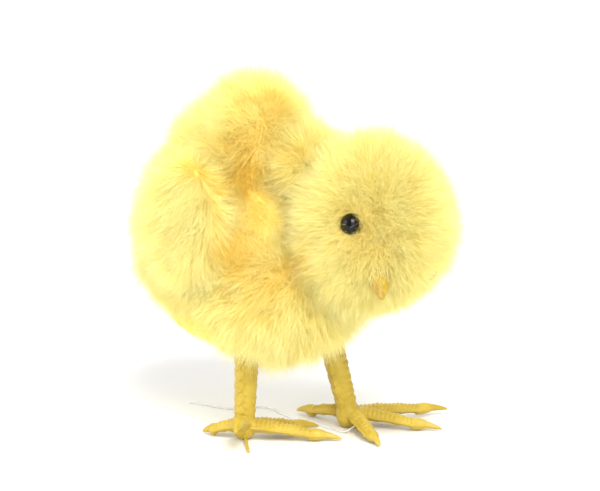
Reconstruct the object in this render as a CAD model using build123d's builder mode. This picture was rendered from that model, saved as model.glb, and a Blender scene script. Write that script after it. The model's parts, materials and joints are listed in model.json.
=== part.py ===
"""Wind-up hopping chicken: a spring motor in a two-part casing, under a fur pelt, on a pair of moulded legs.

The chicken looks along +X, its left side is +Y and +Z is up. Sizes are in millimetres. The pieces are
designed around the point on the floor below the middle of the body, and are moved at the end so that the
origin is on the floor, below the middle of the whole object's box.
"""

from build123d import *
from math import acos, cos, pi, radians, sin, tan
import os

# ---------------------------------------------------------------- driving sizes
RUNNING = 0.05  # radial clearance of a shaft that turns in its hole
PRESS = 0.01  # radial clearance of a shaft that is pressed or glued into its hole
SKIN_GAP = 0.12  # gap between a pelt and what it is glued on

# Fur: centre and half sizes of each rounded volume
BODY_CENTRE, BODY_RADII = (-1.0, 0.0, 45.0), (22.0, 20.0, 28.0)
BREAST_CENTRE, BREAST_RADII = (11.0, 0.0, 34.5), (24.0, 20.0, 20.5)
BACK_CENTRE, BACK_RADII = (6.5, 0.0, 69.0), (14.5, 14.0, 15.5)
WING_CENTRE, WING_RADII = (-2.0, 18.0, 53.0), (10.0, 5.5, 16.0)
HEAD_CENTRE, HEAD_RADII = (36.0, 0.0, 50.5), (20.0, 19.0, 23.0)

# Motor plates: the gap between them and their thickness
PLATE_GAP, PLATE = 13.0, 1.0

# Casing: a straight oval skirt with a domed top, as wide as the motor and its yoke need
SHELL_CENTRE = (5.0, 0.0, 40.0)
SIDE_ROOM = 9.0  # from the inner face of a motor plate out to the side of the casing
SHELL_RADII = (17.0, PLATE_GAP / 2 + SIDE_ROOM, 25.0)
SHELL_WALL = 1.4
SHELL_BOTTOM = 28.0
BOSS_RADIUS, SHELL_SCREW_RADIUS, SHELL_SCREW_LENGTH = 2.0, 0.9, 7.0
SHELL_HEAD_SEAT, SHELL_HEAD_RADIUS, SHELL_HEAD = 2.5, 1.5, 1.0

# Head: the face looks along its own forward direction, turned right, down and over to the left
HEAD_TURN, HEAD_NOD, HEAD_ROLL = -60.7, 29.7, 39.8
CORE_RADIUS, CORE_WALL = 12.5, 1.5
EYE_FORWARD, EYE_SIDE, EYE_UP = 9.7, 11.3, 4.1
EYE_RADIUS = 2.5
EYE_POST_RADIUS = 0.9
WASHER_RIM, WASHER = 1.1, 0.5  # how far the washers and the neck screw's head stand out, and their thickness
BEAK_LENGTH, BEAK_WIDTH, BEAK_DEPTH = 9.5, 5.6, 4.6
BEAK_PEG_RADIUS = 1.4
BEAK_MIDDLE, BEAK_MIDDLE_SHARE, BEAK_TIP_SHARE = 0.6, 0.72, 0.2  # place and width of its middle, and its tip

# Neck spigot
NECK_RADIUS, NECK_FLANGE_RADIUS, NECK_FLANGE = 3.0, 4.2, 1.2
NECK_SPIGOT_RADIUS = 2.0
NECK_SCREW_RADIUS, NECK_SCREW_LENGTH, NECK_SCREW_HEAD = 0.8, 4.5, 1.0

# Motor frame
ARBOR = (5.0, 45.0)
PLATE_RADIUS = 9.3
PLATE_LOW, PLATE_HIGH, PLATE_BACK, PLATE_FRONT = 28.2, 40.0, -4.5, 15.6
PILLAR_RADIUS = 1.2
MOTOR_SCREW_RADIUS, MOTOR_SCREW_LENGTH = 0.6, 3.6
SCREW_HEAD_RADIUS, SCREW_HEAD = 1.2, 0.7

# Gear train
MODULE, PRESSURE_ANGLE, BACKLASH = 0.4, 25.0, 0.07
MAIN_TEETH, SECOND_TEETH, PINION_TEETH = 36, 30, 10
SECOND_DIRECTION, CRANK_DIRECTION = -130.0, -60.0
GEAR_FACE = 1.2
ARBOR_RADIUS, SECOND_SHAFT_RADIUS, CRANK_SHAFT_RADIUS = 1.5, 0.6, 0.7
RATCHET_TEETH, RATCHET_RADIUS, RATCHET_ROOT = 12, 3.6, 2.9
CLICK_ARM, CLICK_HUB, CLICK_PIN = 5.4, 0.8, 0.4
CLICK_THICKNESS, CLICK_PIN_TOP = 1.0, 1.3
CLICK_SPRING_WIDTH, CLICK_SPRING_TOP = 0.6, 0.9
CLICK_TIP_ANGLE = 89  # just short of the steep face of the ratchet tooth at a quarter turn
CRANK_THROW, CRANK_PIN_RADIUS, CRANK_DISC = 1.3, 0.6, 0.9

# Mainspring
SPRING_INNER, SPRING_OUTER, SPRING_TURNS, SPRING_STRIP, SPRING_WIDTH = 2.2, 7.9, 6, 0.3, 4.0
SPRING_POST_RISE = 3.5
SPRING_TOP = -2.0  # highest Y of the mainspring's strip

# Winding key
KEY_STEM_RADIUS, KEY_REACH, KEY_BOW_RADIUS, KEY_BOW_THICKNESS = 2.4, 25.2, 4.6, 1.7
KEY_TUNNEL_RADIUS = 3.4
KEY_BOW_SPREAD, KEY_BOW_REACH, KEY_HOLE_SPREAD, KEY_HOLE = 0.8, 0.7, 0.9, 0.42  # shares of the bow's radius
ARBOR_END, ARBOR_STUB, KEY_CLEAR = 16.0, 0.4, 1.5
BUSH_WALL, BUSH_FLANGE, BUSH_FLANGE_THICKNESS = 0.9, 0.9, 1.2

# Legs and the rocking yoke that holds them
HIP = (12.3, 31.0)
HIP_AXLE_RADIUS = 1.0
EAR = 1.5  # thickness of the yoke's ears
YOKE_BOTTOM, YOKE_TOP, YOKE_HALF_WIDTH = 23.0, 26.0, 2.3
HIP_EYE_RADIUS, SOCKET_ARM = 2.6, 3.0
CLIP_RADIUS, CLIP = 1.8, 0.5
ROCK = 9.0  # the motor rocks this many degrees each way on the legs
SWING_RADIUS = 12.4  # room round the hip for the yoke
SWING_STEPS = (-1.0, -0.5, 0.0, 0.5, 1.0)
LEG_TOP = 21.0
LEG_TOP_RADIUS, LEG_FOOT_RADIUS = 2.85, 2.35
SOCKET_RADIUS = 2.2
WIRE_RADIUS = 0.7
PALM_RADIUS, PALM_HEIGHT = 2.8, 3.7
FOOT_RIGHT, FOOT_LEFT = (8.2, -9.5, 0.0), (26.8, 9.5, 0.0)
# where each leg's own axis passes the height of the leg's top
TOP_RIGHT, TOP_LEFT = (7.9, -7.0, LEG_TOP), (22.5, 7.0, LEG_TOP)
# each toe: heading in degrees from straight ahead, length, height of its tip
TOES_RIGHT = ((49, 18.8, 0.9), (20, 22.5, 0.9), (-71, 15.0, 6.5), (184, 10.2, 0.9))
TOES_LEFT = ((47, 24.6, 1.6), (14, 21.2, 0.9), (-44, 17.3, 0.9), (165, 16.6, 0.9))
TOE_BASE_RADIUS, TOE_TIP_RADIUS, CLAW_SHARE, CLAW_TIP_RADIUS = 1.9, 1.25, 0.2, 0.22
TAB_HEADING, TAB_LENGTH, TAB_WIDTH, TAB_THICKNESS = -58.0, 10.5, 0.9, 0.5
SOLE_BACK, SOLE_RADII = 1.5, (3.2, 1.9)
WIRE_LOW = 0.15

# Clear thread: from inside the left foot, along the floor, to its bare end
THREAD_DIAMETER = 0.4
THREAD_ROUTE = (
    (29.7, 5.3, 1.87),
    (27.6, 3.6, 0.21),
    (19.3, 7.1, 0.21),
    (9.9, 9.3, 0.21),
    (2.6, 15.1, 0.21),
    (-4.2, 8.7, 0.21),
    (-11.0, 9.6, 0.21),
    (-15.7, 9.8, 0.21),
)
THREAD_BEND_SHARE = 0.45  # how much of the shorter run beside a corner its bend takes up

os.makedirs("parts", exist_ok=True)
pieces = {}


def keep(name, builder):
    """Labels a finished piece and keeps it for the move to the object's origin."""
    builder.part.label = name
    pieces[name] = builder.part


# ---------------------------------------------------------------- directions and planes
def polar(centre, distance, angle):
    """The point at a distance and an angle from centre, in the motor's XZ plane."""
    return (centre[0] + distance * cos(radians(angle)), centre[1] + distance * sin(radians(angle)))


def across(high):
    """A plane square to the axles at Y = high: local X is forward, local Y is up, and it extrudes to -Y."""
    return Plane.XZ.offset(-high)


def along(start, direction):
    """A plane at start whose normal is direction."""
    return Plane(origin=start, z_dir=direction)


def head_direction(forward, right, up):
    """Turns head coordinates (forward along the beak, right, crown) into the object's directions."""
    turn, nod, roll = radians(HEAD_TURN), radians(HEAD_NOD), radians(HEAD_ROLL)
    ahead = Vector(cos(nod) * cos(turn), cos(nod) * sin(turn), -sin(nod))
    level_up = Vector(sin(nod) * cos(turn), sin(nod) * sin(turn), cos(nod))
    level_right = ahead.cross(level_up)
    crown = level_up * cos(roll) - level_right * sin(roll)
    side = level_up * sin(roll) + level_right * cos(roll)
    return ahead * forward + side * right + crown * up


def ellipsoid(centre, radii, grow=0.0, seam=0.0):
    """A rounded volume, made bigger all round by grow. It is made outside any builder. The seam of its
    surface is turned by seam degrees about Z, so that the seams of volumes that meet don't coincide."""
    return Pos(*centre) * scale(Rot(0, 0, seam) * Sphere(1), by=tuple(r + grow for r in radii))


def mirrored(point):
    return (point[0], -point[1], point[2])


# Places worked out from the driving sizes
INNER_FACE = PLATE_GAP / 2
OUTER_FACE = INNER_FACE + PLATE
DISC_GAP = 0.2  # on each side of the crank disc, between the motor plate and the yoke's ear
CRANK_DISC_START = OUTER_FACE + DISC_GAP
EAR_INNER = CRANK_DISC_START + CRANK_DISC + DISC_GAP
GEAR_MESH = MODULE * (MAIN_TEETH + PINION_TEETH) / 2
SECOND = polar(ARBOR, GEAR_MESH, SECOND_DIRECTION)
CRANK = polar(SECOND, MODULE * (SECOND_TEETH + PINION_TEETH) / 2, CRANK_DIRECTION)
SPRING_POST = (
    ARBOR[0] + SPRING_OUTER + SPRING_STRIP / 2 + PILLAR_RADIUS + RUNNING,
    ARBOR[1] + SPRING_POST_RISE,
)
PILLARS = (SPRING_POST, (-3.2, 50.4), (-3.2, 30.4), (13.4, 38.0))  # the spring's post and three plain ones
SHELL_SCREWS = ((5.0, 59.0), (-8.0, 45.0), (18.3, 35.0))
SECOND_LAYER = 0.2  # lowest Y of the second gear
MAIN_LAYER = 2.2  # lowest Y of the main gear
LAYER_GAP = 0.2
RATCHET_LAYER = MAIN_LAYER + GEAR_FACE + LAYER_GAP
EAR_OUTER = EAR_INNER + EAR
HEAD = Vector(*HEAD_CENTRE)
FACE = head_direction(1, 0, 0)
NECK_START = Vector(SHELL_CENTRE[0] + SHELL_RADII[0] - 4.6, 0, 47.0)
NECK_AXIS = (HEAD - NECK_START).normalized()

body_volume = ellipsoid(BODY_CENTRE, BODY_RADII, seam=180)
breast_volume = ellipsoid(BREAST_CENTRE, BREAST_RADII, seam=200)
torso_envelope = (
    ellipsoid(BODY_CENTRE, BODY_RADII, SKIN_GAP, seam=180),
    ellipsoid(BREAST_CENTRE, BREAST_RADII, SKIN_GAP, seam=200),
)
head_volume = ellipsoid(HEAD_CENTRE, HEAD_RADII, seam=185)
head_envelope = ellipsoid(HEAD_CENTRE, HEAD_RADII, SKIN_GAP, seam=185)
core_envelope = ellipsoid(HEAD_CENTRE, (CORE_RADIUS,) * 3, SKIN_GAP, seam=230)


# ---------------------------------------------------------------- gears
def gear_outline(teeth, centre, phase):
    """Corner points of a spur gear in the XZ plane, one tooth of it centred on phase."""
    pitch = MODULE * teeth / 2
    angle = radians(PRESSURE_ANGLE)
    base = pitch * cos(angle)
    half_at_pitch = (pi * MODULE - BACKLASH) / (4 * pitch)

    def half_angle(radius):
        slope = acos(min(1.0, base / radius))
        return half_at_pitch + (tan(angle) - angle) - (tan(slope) - slope)

    radii = (pitch - 1.05 * MODULE, pitch, pitch + 0.8 * MODULE)
    points = []
    for tooth in range(teeth):
        middle = radians(phase) + 2 * pi * tooth / teeth
        flank = [(radius, half_angle(radius)) for radius in radii]
        for radius, half in flank:
            points.append((radius, middle - half))
        for radius, half in reversed(flank):
            points.append((radius, middle + half))
    return [(centre[0] + r * cos(a), centre[1] + r * sin(a)) for r, a in points]


def ratchet_outline(centre, phase):
    """Saw teeth: each rises slowly and drops straight back to the root."""
    step = 360 / RATCHET_TEETH
    points = []
    for tooth in range(RATCHET_TEETH):
        start = phase + tooth * step
        points.append(polar(centre, RATCHET_ROOT, start))
        points.append(polar(centre, RATCHET_RADIUS, start))
    return points


CLICK_PIVOT = polar(ARBOR, CLICK_ARM, 60)
SPRING_FOOT = polar(ARBOR, CLICK_ARM + 0.2, 128)
MESH_GAP = 180 / PINION_TEETH  # turns a pinion so that a gap, not a tooth, faces its gear
PIN_PLANE = across(RATCHET_LAYER + CLICK_PIN_TOP)

with BuildPart() as main_gear:
    with BuildSketch(across(MAIN_LAYER + GEAR_FACE)):
        with BuildLine():
            Polyline(*gear_outline(MAIN_TEETH, ARBOR, SECOND_DIRECTION), close=True)
        make_face()
        with Locations(ARBOR):
            Circle(ARBOR_RADIUS + RUNNING, mode=Mode.SUBTRACT)
    extrude(amount=GEAR_FACE)
    with BuildSketch(PIN_PLANE):
        with Locations(CLICK_PIVOT, SPRING_FOOT):
            Circle(CLICK_PIN)
    extrude(amount=RATCHET_LAYER + CLICK_PIN_TOP - MAIN_LAYER)
keep("main_gear", main_gear)

with BuildPart() as second_gear:
    with BuildSketch(across(SECOND_LAYER + GEAR_FACE)):
        with BuildLine():
            Polyline(*gear_outline(SECOND_TEETH, SECOND, CRANK_DIRECTION), close=True)
        make_face()
    extrude(amount=GEAR_FACE)
    with BuildSketch(across(MAIN_LAYER + GEAR_FACE + 0.1)):
        with BuildLine():
            Polyline(*gear_outline(PINION_TEETH, SECOND, SECOND_DIRECTION + 180 + MESH_GAP), close=True)
        make_face()
    extrude(amount=MAIN_LAYER + 0.1 - SECOND_LAYER)
    with BuildSketch(across(INNER_FACE)):
        with Locations(SECOND):
            Circle(SECOND_SHAFT_RADIUS + PRESS)
    extrude(amount=PLATE_GAP, mode=Mode.SUBTRACT)
keep("second_gear", second_gear)

with BuildPart() as crank_pinion:
    with BuildSketch(across(SECOND_LAYER + GEAR_FACE + 0.2)):
        with BuildLine():
            Polyline(*gear_outline(PINION_TEETH, CRANK, CRANK_DIRECTION + 180 + MESH_GAP), close=True)
        make_face()
        with Locations(CRANK):
            Circle(CRANK_SHAFT_RADIUS + PRESS, mode=Mode.SUBTRACT)
    extrude(amount=GEAR_FACE + 0.4)
keep("crank_pinion", crank_pinion)


def pin_between(low, high, centre, radius):
    """A plain round pin along Y."""
    with BuildPart() as pin:
        with BuildSketch(across(high)):
            with Locations(centre):
                Circle(radius)
        extrude(amount=high - low)
    return pin


keep("second_shaft", pin_between(-OUTER_FACE, OUTER_FACE, SECOND, SECOND_SHAFT_RADIUS))
keep("crank_shaft", pin_between(-OUTER_FACE, CRANK_DISC_START + CRANK_DISC, CRANK, CRANK_SHAFT_RADIUS))

with BuildPart() as crank_disc:
    with BuildSketch(across(CRANK_DISC_START + CRANK_DISC)):
        with Locations(CRANK):
            Circle(CRANK_THROW + 2 * CRANK_PIN_RADIUS)
            Circle(CRANK_SHAFT_RADIUS + PRESS, mode=Mode.SUBTRACT)
    extrude(amount=CRANK_DISC)
    with BuildSketch(across(EAR_OUTER + 0.1)):
        with Locations(polar(CRANK, CRANK_THROW, 0)):
            Circle(CRANK_PIN_RADIUS)
    extrude(amount=EAR_OUTER + 0.1 - CRANK_DISC_START - CRANK_DISC / 2)
    with BuildSketch(across(CRANK_DISC_START + CRANK_DISC)):
        with Locations(CRANK):
            Circle(CRANK_SHAFT_RADIUS + PRESS)
    extrude(amount=CRANK_DISC, mode=Mode.SUBTRACT)
keep("crank_disc", crank_disc)

# ---------------------------------------------------------------- ratchet, click, springs
with BuildPart() as ratchet_wheel:
    with BuildSketch(across(RATCHET_LAYER + GEAR_FACE)):
        with BuildLine():
            Polyline(*ratchet_outline(ARBOR, 0), close=True)
        make_face()
        with Locations(ARBOR):
            Circle(ARBOR_RADIUS + PRESS, mode=Mode.SUBTRACT)
    extrude(amount=GEAR_FACE)
keep("ratchet_wheel", ratchet_wheel)

with BuildPart() as click:
    with BuildSketch(across(RATCHET_LAYER + CLICK_THICKNESS + 0.1)):
        with Locations(CLICK_PIVOT):
            Circle(CLICK_HUB)
        with BuildLine():
            Polyline(
                polar(ARBOR, RATCHET_ROOT + 0.3, CLICK_TIP_ANGLE),
                polar(ARBOR, RATCHET_RADIUS + 0.5, CLICK_TIP_ANGLE),
                polar(ARBOR, CLICK_ARM + CLICK_HUB * 0.9, 64),
                polar(ARBOR, CLICK_ARM - CLICK_HUB * 0.9, 62),
                close=True,
            )
        make_face()
        with Locations(CLICK_PIVOT):
            Circle(CLICK_PIN + RUNNING, mode=Mode.SUBTRACT)
    extrude(amount=CLICK_THICKNESS)
keep("click", click)

with BuildPart() as click_spring:
    with BuildSketch(across(RATCHET_LAYER + CLICK_SPRING_TOP)):
        with Locations(SPRING_FOOT):
            Circle(CLICK_PIN + 0.3)
        with BuildLine():
            Polyline(
                polar(ARBOR, 5.6, 125),
                polar(ARBOR, 5.75, 104),
                polar(ARBOR, 5.2, 88),
                polar(ARBOR, 5.35, 87),
                polar(ARBOR, 5.9, 104),
                polar(ARBOR, 6.0, 125),
                close=True,
            )
        make_face()
        with Locations(SPRING_FOOT):
            Circle(CLICK_PIN + PRESS, mode=Mode.SUBTRACT)
    extrude(amount=CLICK_SPRING_WIDTH)
keep("click_spring", click_spring)


def spiral_side(shift):
    """Half circles that wind outward round the arbor; shift moves the line across the strip."""
    half_turns = 2 * SPRING_TURNS
    step = (SPRING_OUTER - SPRING_INNER) / half_turns
    ends = []
    for turn in range(half_turns + 1):
        side = 1 if turn % 2 == 0 else -1
        ends.append((ARBOR[0] + side * (SPRING_INNER + turn * step + shift), ARBOR[1]))
    for turn in range(half_turns):
        (x0, z0), (x1, _) = ends[turn], ends[turn + 1]
        rise = abs(x1 - x0) / 2 * (1 if turn % 2 == 0 else -1)
        ThreePointArc((x0, z0), ((x0 + x1) / 2, z0 + rise), (x1, z0))
    return ends[0], ends[-1]


HALF_STRIP = SPRING_STRIP / 2
HOOK_TOP = SPRING_POST[1] + PILLAR_RADIUS + RUNNING
HOOK_END = SPRING_POST[0] + PILLAR_RADIUS

with BuildPart() as mainspring:
    with BuildSketch(across(SPRING_TOP)):
        with BuildLine():
            inner_start, inner_end = spiral_side(-HALF_STRIP)
            outer_start, outer_end = spiral_side(HALF_STRIP)
            Line(inner_start, outer_start)
            Polyline(
                inner_end,
                (inner_end[0], HOOK_TOP + SPRING_STRIP),
                (HOOK_END, HOOK_TOP + SPRING_STRIP),
                (HOOK_END, HOOK_TOP),
                (outer_end[0], HOOK_TOP),
                outer_end,
            )
        make_face()
    extrude(amount=SPRING_WIDTH)
keep("mainspring", mainspring)


# ---------------------------------------------------------------- motor frame
def motor_plate(low):
    """One side plate, from Y = low to low + PLATE, with all the bearing and screw holes."""
    with BuildPart() as plate:
        with BuildSketch(across(low + PLATE)):
            with Locations(ARBOR):
                Circle(PLATE_RADIUS)
            with Locations(((PLATE_BACK + PLATE_FRONT) / 2, (PLATE_LOW + PLATE_HIGH) / 2)):
                RectangleRounded(PLATE_FRONT - PLATE_BACK, PLATE_HIGH - PLATE_LOW, 1.2)
            with Locations(*PILLARS):
                Circle(PILLAR_RADIUS + 0.8)
            holes = (
                (ARBOR, ARBOR_RADIUS + RUNNING),
                (SECOND, SECOND_SHAFT_RADIUS + RUNNING),
                (CRANK, CRANK_SHAFT_RADIUS + RUNNING),
                (HIP, HIP_AXLE_RADIUS + PRESS),
            )
            for centre, radius in holes:
                with Locations(centre):
                    Circle(radius, mode=Mode.SUBTRACT)
            with Locations(*PILLARS):
                Circle(MOTOR_SCREW_RADIUS + RUNNING, mode=Mode.SUBTRACT)
        extrude(amount=PLATE)
    return plate


keep("motor_plate_left", motor_plate(INNER_FACE))
keep("motor_plate_right", motor_plate(-OUTER_FACE))

with BuildPart() as motor_pillars:
    with BuildSketch(across(INNER_FACE)):
        with Locations(*PILLARS):
            Circle(PILLAR_RADIUS)
            Circle(MOTOR_SCREW_RADIUS + PRESS, mode=Mode.SUBTRACT)
    extrude(amount=PLATE_GAP)
keep("motor_pillars", motor_pillars)

with BuildPart() as motor_screws:
    for side in (1, -1):
        head_high = max(side * OUTER_FACE, side * (OUTER_FACE + SCREW_HEAD))
        with BuildSketch(across(head_high)):
            with Locations(*PILLARS):
                Circle(SCREW_HEAD_RADIUS)
        extrude(amount=SCREW_HEAD)
        shank_high = max(side * OUTER_FACE, side * (OUTER_FACE - MOTOR_SCREW_LENGTH))
        with BuildSketch(across(shank_high)):
            with Locations(*PILLARS):
                Circle(MOTOR_SCREW_RADIUS)
        extrude(amount=MOTOR_SCREW_LENGTH)
keep("motor_screws", motor_screws)

# ---------------------------------------------------------------- winding arbor and key
keep("winding_arbor", pin_between(-OUTER_FACE - ARBOR_STUB, ARBOR_END, ARBOR, ARBOR_RADIUS))

KEY_START = OUTER_FACE + KEY_CLEAR
BOW = (ARBOR[0], KEY_REACH + KEY_BOW_RADIUS * KEY_BOW_REACH)
with BuildPart() as winding_key:
    with BuildSketch(across(KEY_REACH)):
        with Locations(ARBOR):
            Circle(KEY_STEM_RADIUS)
    extrude(amount=KEY_REACH - KEY_START)
    with BuildSketch(Plane.XY.offset(ARBOR[1] - KEY_BOW_THICKNESS / 2)):
        with Locations(BOW):
            with Locations((-KEY_BOW_RADIUS * KEY_BOW_SPREAD, 0), (KEY_BOW_RADIUS * KEY_BOW_SPREAD, 0)):
                Circle(KEY_BOW_RADIUS)
        with Locations((ARBOR[0], KEY_REACH)):
            Rectangle(2 * KEY_STEM_RADIUS, KEY_BOW_RADIUS)
        with Locations(BOW):
            with Locations((-KEY_BOW_RADIUS * KEY_HOLE_SPREAD, 0), (KEY_BOW_RADIUS * KEY_HOLE_SPREAD, 0)):
                Circle(KEY_BOW_RADIUS * KEY_HOLE, mode=Mode.SUBTRACT)
    extrude(amount=KEY_BOW_THICKNESS)
    with BuildSketch(across(ARBOR_END + 0.2)):
        with Locations(ARBOR):
            Circle(ARBOR_RADIUS + PRESS)
    extrude(amount=ARBOR_END + 0.2 - KEY_START, mode=Mode.SUBTRACT)
keep("winding_key", winding_key)


# ---------------------------------------------------------------- casing
def shell_wall(outer_grow):
    """The casing's solid form: the dome above SHELL_CENTRE and the straight skirt below it."""
    dome = ellipsoid(SHELL_CENTRE, SHELL_RADII, outer_grow)
    with BuildPart() as form:
        with BuildSketch(Plane.XY.offset(SHELL_BOTTOM)):
            with Locations(SHELL_CENTRE[:2]):
                Ellipse(SHELL_RADII[0] + outer_grow, SHELL_RADII[1] + outer_grow)
        extrude(amount=SHELL_CENTRE[2] - SHELL_BOTTOM)
        add(dome)
        with BuildSketch(Plane.XY.offset(SHELL_BOTTOM)):
            with Locations(SHELL_CENTRE[:2]):
                Rectangle(4 * SHELL_RADII[0], 4 * SHELL_RADII[1])
        extrude(amount=-SHELL_RADII[2], mode=Mode.SUBTRACT)
    return form.part


SHELL_FORM = shell_wall(0.0)
SHELL_HOLLOW = shell_wall(-SHELL_WALL)
SHELL_SPACE = shell_wall(SKIN_GAP)
BUSH_RADIUS = KEY_STEM_RADIUS + RUNNING + BUSH_WALL


def shell_half(side):
    """The left (side = 1) or right (side = -1) half of the casing, with its screw bosses and holes."""
    half_space = Pos(SHELL_CENTRE[0], side * 30, SHELL_CENTRE[2]) * Box(80, 60, 80)
    wall_only = SHELL_FORM - SHELL_HOLLOW
    with BuildPart() as half:
        for centre in SHELL_SCREWS:
            with BuildSketch(across(SHELL_RADII[1])):
                with Locations(centre):
                    Circle(BOSS_RADIUS)
            extrude(amount=2 * SHELL_RADII[1])
        add(SHELL_FORM, mode=Mode.INTERSECT)
        add(wall_only)
        add(half_space, mode=Mode.INTERSECT)
        for centre in SHELL_SCREWS:
            with BuildSketch(across(SHELL_SCREW_LENGTH)):
                with Locations(centre):
                    Circle(SHELL_SCREW_RADIUS + (PRESS if side > 0 else RUNNING))
            extrude(amount=SHELL_SCREW_LENGTH + SHELL_HEAD_SEAT, mode=Mode.SUBTRACT)
            if side < 0:
                with BuildSketch(across(-SHELL_HEAD_SEAT)):
                    with Locations(centre):
                        Circle(SHELL_HEAD_RADIUS + RUNNING)
                extrude(amount=SHELL_RADII[1], mode=Mode.SUBTRACT)
        with BuildSketch(along(NECK_START, NECK_AXIS)):
            Circle(NECK_RADIUS + PRESS)
        extrude(amount=12, mode=Mode.SUBTRACT)
        if side > 0:
            with BuildSketch(across(SHELL_RADII[1] + 1)):
                with Locations(ARBOR):
                    Circle(BUSH_RADIUS + PRESS)
            extrude(amount=6, mode=Mode.SUBTRACT)
    return half


keep("body_shell_left", shell_half(1))
keep("body_shell_right", shell_half(-1))

with BuildPart() as shell_screws:
    with BuildSketch(across(SHELL_SCREW_LENGTH - 0.5)):
        with Locations(*SHELL_SCREWS):
            Circle(SHELL_SCREW_RADIUS)
    extrude(amount=SHELL_SCREW_LENGTH - 0.5 + SHELL_HEAD_SEAT)
    with BuildSketch(across(-SHELL_HEAD_SEAT)):
        with Locations(*SHELL_SCREWS):
            Circle(SHELL_HEAD_RADIUS)
    extrude(amount=SHELL_HEAD)
keep("shell_screws", shell_screws)

# Where the casing's left wall is, at the key
WALL_AT_KEY = SHELL_RADII[1] * (1 - ((ARBOR[1] - SHELL_CENTRE[2]) / SHELL_RADII[2]) ** 2) ** 0.5
wall_round_bush = SHELL_FORM - (Pos(ARBOR[0], 0, ARBOR[1]) * Rot(90, 0, 0) * Cylinder(BUSH_RADIUS, 60))
with BuildPart() as key_bush:
    with BuildSketch(across(WALL_AT_KEY + 1.0)):
        with Locations(ARBOR):
            Circle(BUSH_RADIUS)
    extrude(amount=SHELL_WALL + 2.0)
    with BuildSketch(across(WALL_AT_KEY + 1.4)):
        with Locations(ARBOR):
            Circle(BUSH_RADIUS + BUSH_FLANGE)
    extrude(amount=BUSH_FLANGE_THICKNESS)
    with BuildSketch(across(SHELL_RADII[1] + 2)):
        with Locations(ARBOR):
            Circle(KEY_STEM_RADIUS + RUNNING)
    extrude(amount=8, mode=Mode.SUBTRACT)
    add(wall_round_bush, mode=Mode.SUBTRACT)
keep("key_bush", key_bush)

# ---------------------------------------------------------------- head
core_ball = ellipsoid(HEAD_CENTRE, (CORE_RADIUS,) * 3)
core_wall = core_ball - ellipsoid(HEAD_CENTRE, (CORE_RADIUS,) * 3, -CORE_WALL)
EYES = {
    "right": head_direction(EYE_FORWARD, EYE_SIDE, EYE_UP),
    "left": head_direction(EYE_FORWARD, -EYE_SIDE, EYE_UP),
}


def core_half(name, side):
    """The face half (side = 1) or the back half (side = -1) of the hollow head ball."""
    with BuildPart() as half:
        add(core_wall)
        split(bisect_by=along(HEAD, FACE), keep=Keep.TOP if side > 0 else Keep.BOTTOM)
        if side > 0:
            for eye in EYES.values():
                with BuildSketch(along(HEAD, eye)):
                    Circle(EYE_POST_RADIUS + PRESS)
                extrude(amount=CORE_RADIUS + 1, mode=Mode.SUBTRACT)
            with BuildSketch(along(HEAD, FACE)):
                Circle(BEAK_PEG_RADIUS + PRESS)
            extrude(amount=CORE_RADIUS + 1, mode=Mode.SUBTRACT)
        else:
            with BuildSketch(along(HEAD, -NECK_AXIS)):
                Circle(NECK_SPIGOT_RADIUS + PRESS)
            extrude(amount=CORE_RADIUS + 1, mode=Mode.SUBTRACT)
    keep(name, half)


core_half("head_core_face", 1)
core_half("head_core_back", -1)


def eye(name, direction):
    """A bead on a post that passes through the wall of the head ball."""
    centre = HEAD + direction
    inward = -direction.normalized()
    with BuildPart() as bead:
        with Locations(Location(centre)):
            Sphere(EYE_RADIUS)
        with BuildSketch(along(centre, inward)):
            Circle(EYE_POST_RADIUS)
        extrude(amount=direction.length - CORE_RADIUS + CORE_WALL + 1.6)
    keep(name, bead)


eye("eye_right", EYES["right"])
eye("eye_left", EYES["left"])

with BuildPart() as eye_washers:
    for direction in EYES.values():
        seat = HEAD + direction.normalized() * (CORE_RADIUS - CORE_WALL - 0.25)
        with BuildSketch(along(seat, -direction.normalized())):
            Circle(EYE_POST_RADIUS + WASHER_RIM)
            Circle(EYE_POST_RADIUS + PRESS, mode=Mode.SUBTRACT)
        extrude(amount=WASHER)
keep("eye_washers", eye_washers)

BEAK_SEAT = CORE_RADIUS + 0.3
with BuildPart() as beak:
    beak_start = HEAD + FACE * BEAK_SEAT
    beak_side = head_direction(0, 1, 0)
    for place, share in ((0.0, 1.0), (BEAK_MIDDLE, BEAK_MIDDLE_SHARE), (1.0, BEAK_TIP_SHARE)):
        section = Plane(origin=beak_start + FACE * BEAK_LENGTH * place, x_dir=beak_side, z_dir=FACE)
        with BuildSketch(section):
            Ellipse(BEAK_WIDTH / 2 * share, BEAK_DEPTH / 2 * share)
    loft()
    with BuildSketch(along(beak_start + FACE * 0.5, -FACE)):
        Circle(BEAK_PEG_RADIUS)
    extrude(amount=0.5 + BEAK_SEAT - CORE_RADIUS + CORE_WALL + 1.0)
keep("beak", beak)

# ---------------------------------------------------------------- neck
NECK_END = (HEAD - NECK_START).length - CORE_RADIUS - 0.1
neck_bore = along(NECK_START, NECK_AXIS) * Cylinder(NECK_RADIUS, 30)
wall_round_neck = SHELL_FORM - SHELL_HOLLOW - neck_bore
with BuildPart() as neck_peg:
    with BuildSketch(along(NECK_START, NECK_AXIS)):
        Circle(NECK_RADIUS)
    extrude(amount=NECK_END)
    with BuildSketch(along(NECK_START + NECK_AXIS * NECK_END, NECK_AXIS)):
        Circle(NECK_SPIGOT_RADIUS)
    extrude(amount=CORE_WALL + 0.1)
    with BuildSketch(along(NECK_START, NECK_AXIS)):
        Circle(NECK_FLANGE_RADIUS)
    extrude(amount=NECK_FLANGE)
    with BuildSketch(along(NECK_START + NECK_AXIS * (NECK_END - 4), NECK_AXIS)):
        Circle(NECK_SCREW_RADIUS + PRESS)
    extrude(amount=10, mode=Mode.SUBTRACT)
    add(wall_round_neck, mode=Mode.SUBTRACT)
keep("neck_peg", neck_peg)

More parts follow.
